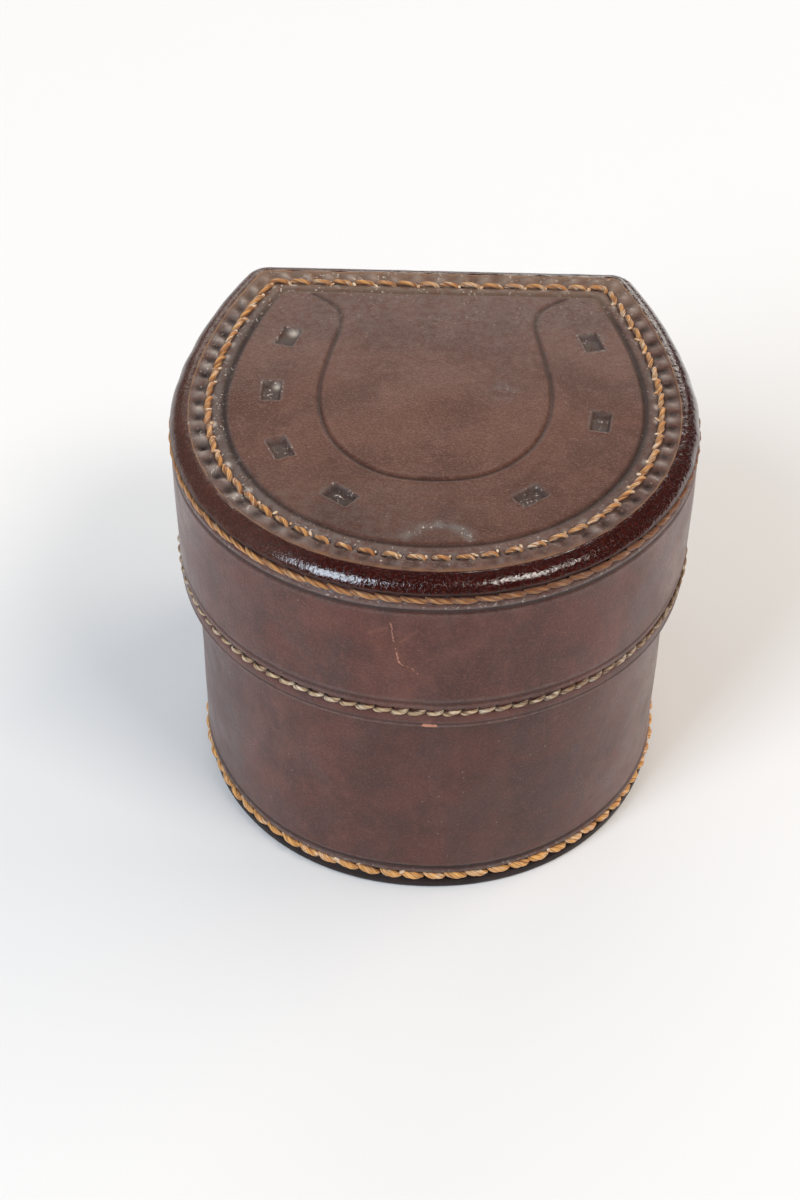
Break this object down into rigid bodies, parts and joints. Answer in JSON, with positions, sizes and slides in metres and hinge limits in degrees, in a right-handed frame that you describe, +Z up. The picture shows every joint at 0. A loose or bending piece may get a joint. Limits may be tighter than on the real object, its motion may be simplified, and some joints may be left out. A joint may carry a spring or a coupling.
{
  "type": "leather dice cup",
  "caption": "Horseshoe-plan box-stitched leather dice cup with a flat back and a deep lid that lifts straight off.",
  "frame": {"origin": "centre of the footprint, on the underside of the base panel", "axes": "+Z up, which is also the way the lid lifts; the rounded front faces -Y and the straight back faces +Y"},
  "size_m": [0.09, 0.0883, 0.0751],
  "materials": {
    "panel_leather": "smooth waxed bridle leather with a polished dark edge",
    "wall_leather": "smooth waxed bridle leather",
    "base_leather": "dark leather with a burnished edge",
    "lining": "thin matt skiver lining",
    "amber_thread": "waxed linen thread, amber",
    "pale_thread": "waxed linen thread, pale"
  },
  "bodies": {
    "cup": {"cup_wall": "wall_leather", "cup_base_panel": "base_leather", "cup_floor_lining": "lining", "cup_wall_lining": "lining", "cup_base_side_thread": "amber_thread", "cup_base_under_thread": "amber_thread", "cup_rim_thread": "pale_thread", "cup_seam_thread": "pale_thread"},
    "lid": {"lid_top_panel": "panel_leather", "lid_wall": "wall_leather", "lid_top_lining": "lining", "lid_wall_lining": "lining", "lid_top_thread": "amber_thread", "lid_side_thread": "amber_thread", "lid_rim_thread": "pale_thread", "lid_seam_thread": "pale_thread"}
  },
  "joints": [
    {"name": "lid_lift", "type": "slide", "parent": "cup", "child": "lid", "axis": [0, 0, 1], "range_m": [0, 0.06]}
  ]
}
